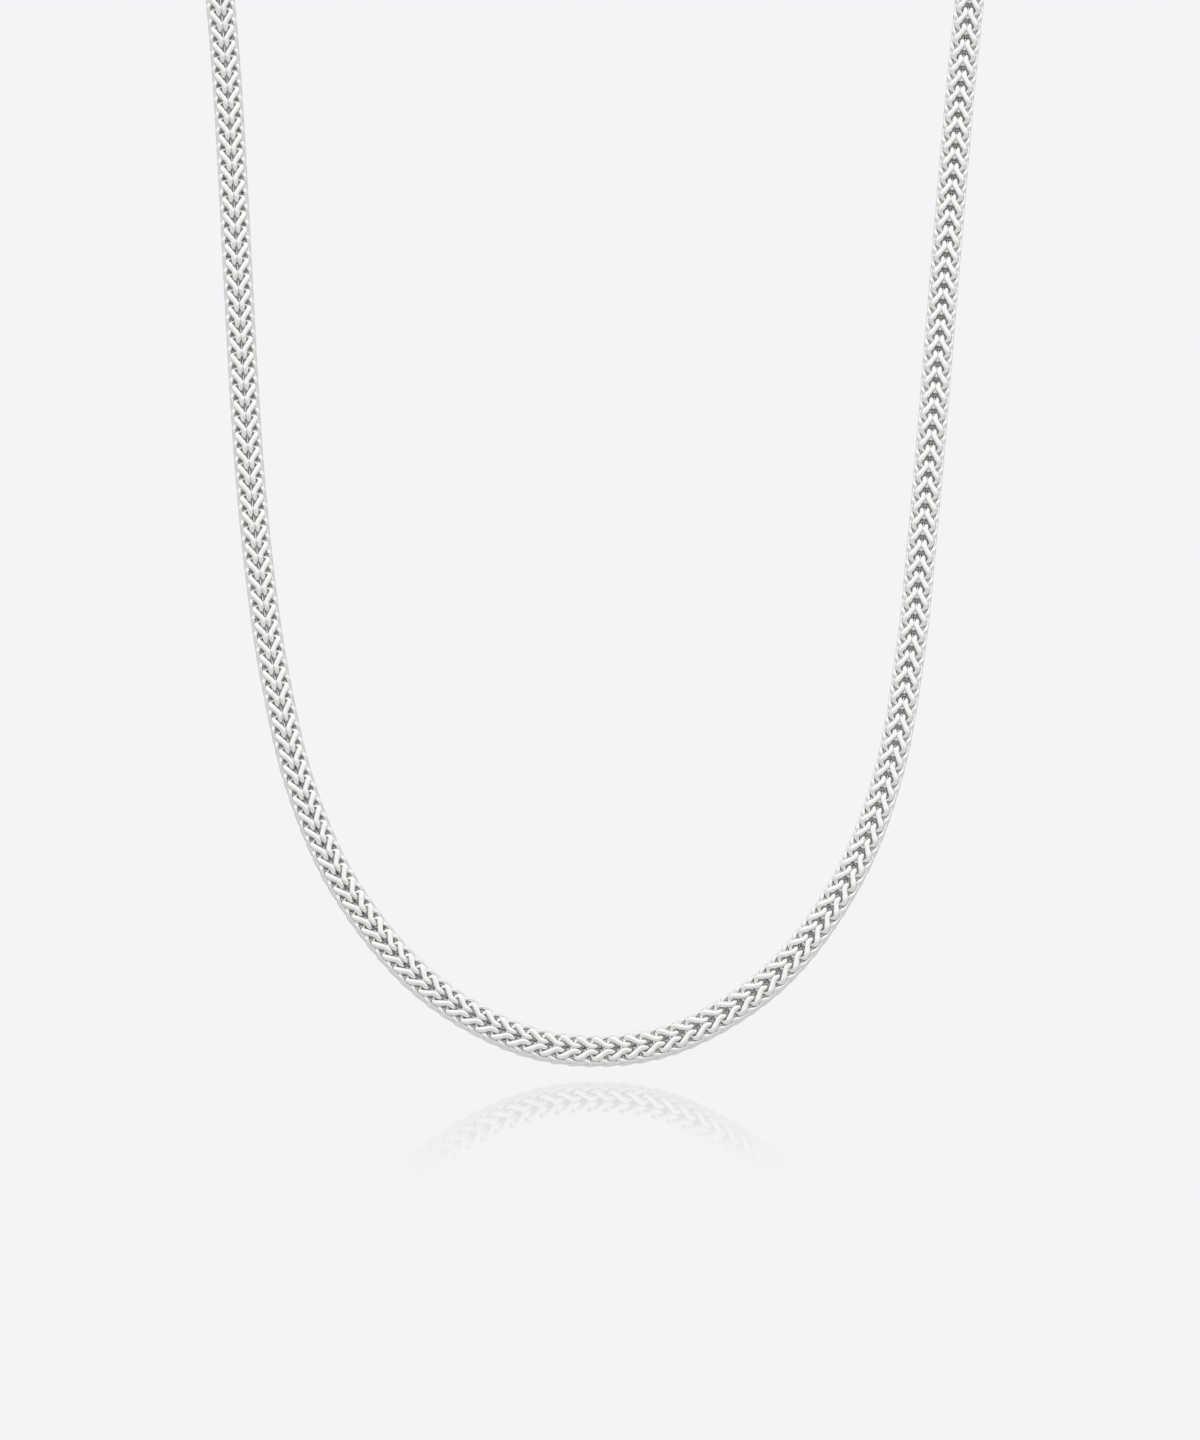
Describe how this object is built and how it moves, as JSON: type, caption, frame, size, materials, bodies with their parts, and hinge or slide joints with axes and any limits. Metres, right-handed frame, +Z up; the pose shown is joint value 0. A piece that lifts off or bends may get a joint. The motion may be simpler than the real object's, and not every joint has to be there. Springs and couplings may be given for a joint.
{
  "type": "necklace",
  "caption": "Square four-sided V-link neck chain in a worn U curve, closed at the nape by end cups, soldered loops and a plain clasp.",
  "frame": {"origin": "nape of the neck, at the middle of the clasp, where the chain hangs", "axes": "+X to the wearer's left, across the neck; +Y from the front to the nape; +Z up"},
  "size_m": [0.1168, 0.1413, 0.2072],
  "materials": {
    "chain_silver": "bright polished silver links",
    "fitting_silver": "polished silver"
  },
  "bodies": {
    "root": {"chain": "chain_silver", "end_cap_left": "fitting_silver", "end_cap_right": "fitting_silver", "clasp": "fitting_silver"}
  },
  "joints": []
}
